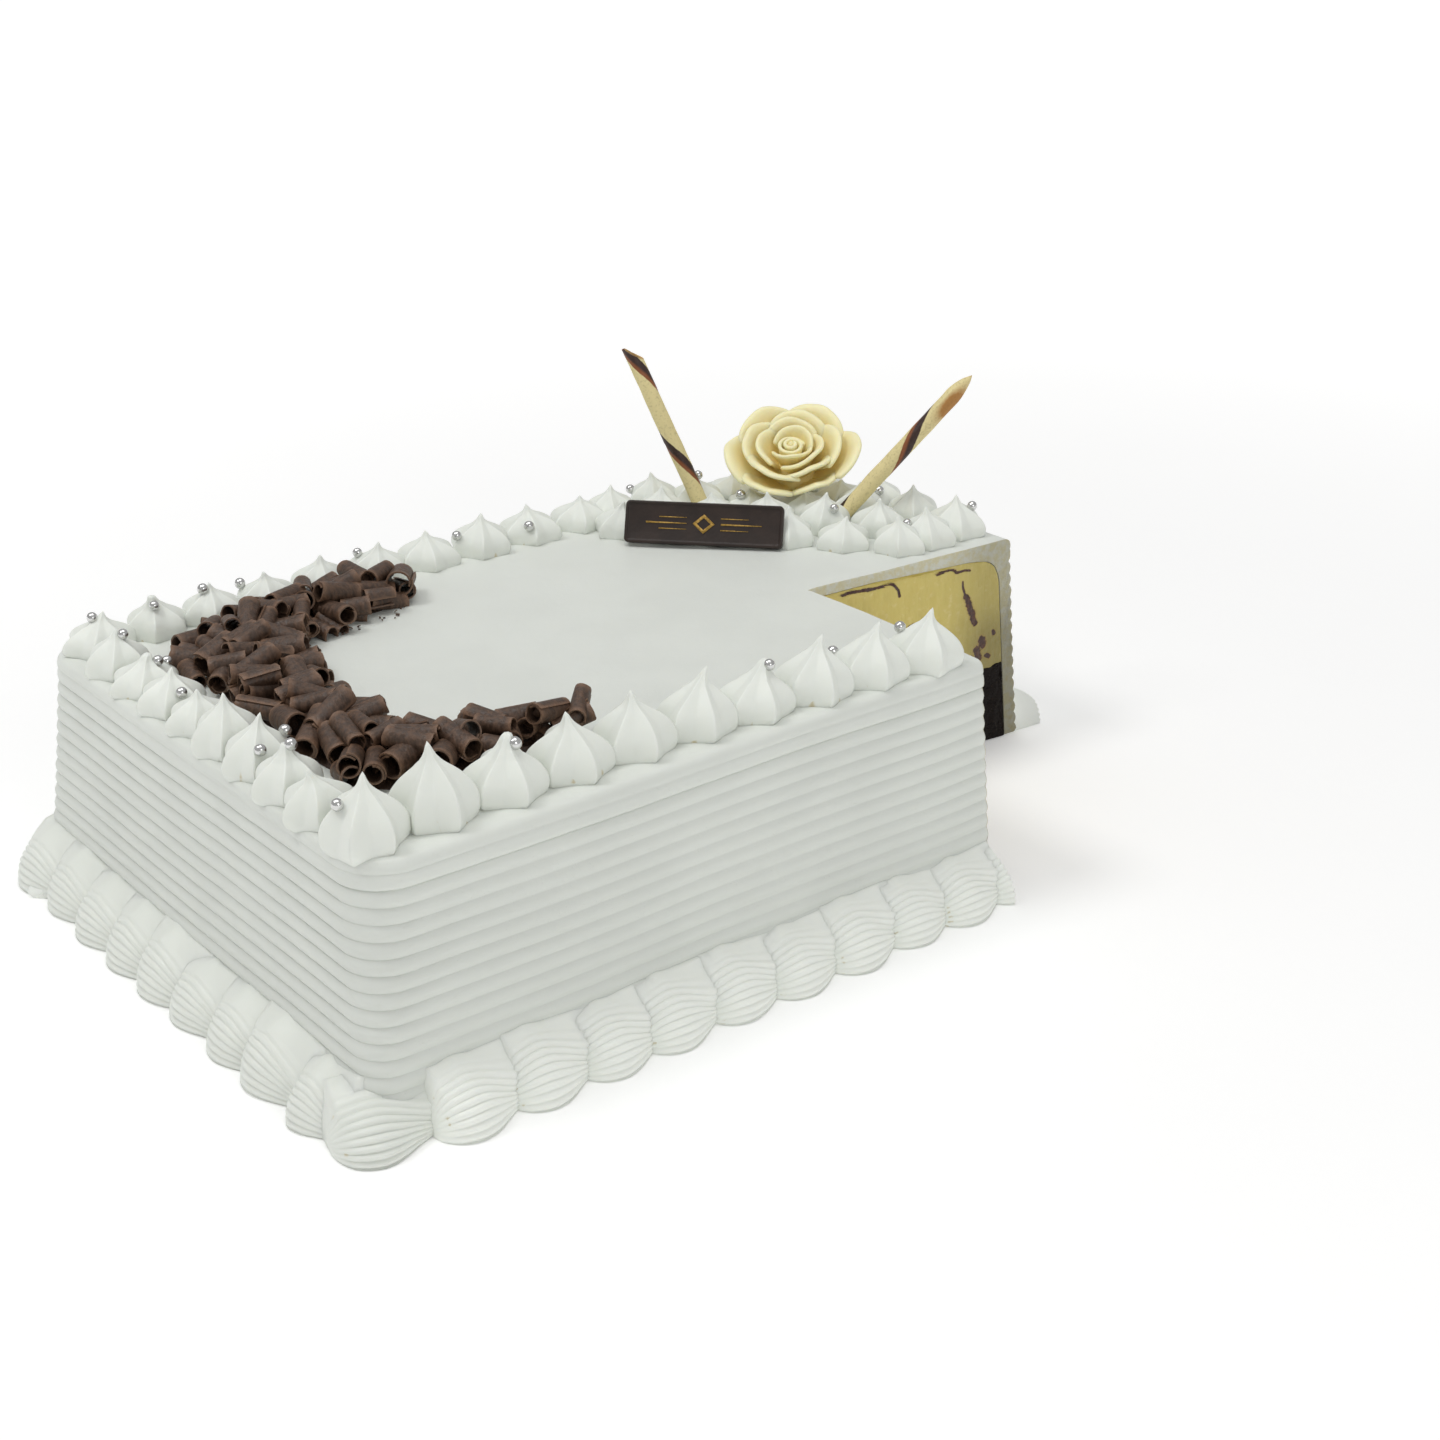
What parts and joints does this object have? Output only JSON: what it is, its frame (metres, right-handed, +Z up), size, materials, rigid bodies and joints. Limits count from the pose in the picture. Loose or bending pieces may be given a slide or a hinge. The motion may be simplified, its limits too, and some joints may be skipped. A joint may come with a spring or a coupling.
{
  "type": "sheet cake",
  "caption": "Rectangular ice cream sheet cake with one corner cut out: combed white icing, piped shells and stars, chocolate curls, a plain plaque, rolled wafers and a moulded rose.",
  "frame": {"origin": "middle of the whole rectangle's footprint, before the corner was cut, on the surface the cake stands on", "axes": "+X along the long side towards the cut corner's end, +Y across the short side away from the cut corner, +Z up"},
  "size_m": [0.3738, 0.259, 0.1463],
  "materials": {
    "sponge": "dark chocolate sponge, matt and open-crumbed",
    "ice_cream": "pale yellow ice cream with dark brown ripples, soft satin",
    "icing": "whipped white icing, smooth and slightly satin",
    "chocolate": "dark chocolate curls, dull with paler edges",
    "plaque": "moulded dark chocolate, satin, plain",
    "white_chocolate": "moulded cream-yellow chocolate, satin",
    "wafer": "baked wafer, matt, with a dark brown stripe wound round it",
    "silver_sugar": "silver-coated sugar balls, bright"
  },
  "bodies": {
    "root": {"sponge": "sponge", "ice_cream": "ice_cream", "icing": "icing", "shells_front": "icing", "shells_left": "icing", "shells_back": "icing", "shells_right": "icing", "stars_front": "icing", "stars_left": "icing", "stars_back": "icing", "stars_field": "icing", "curls": "chocolate", "plaque": "plaque", "rose": "white_chocolate", "wafer_left": "wafer", "wafer_right": "wafer"}
  },
  "joints": []
}
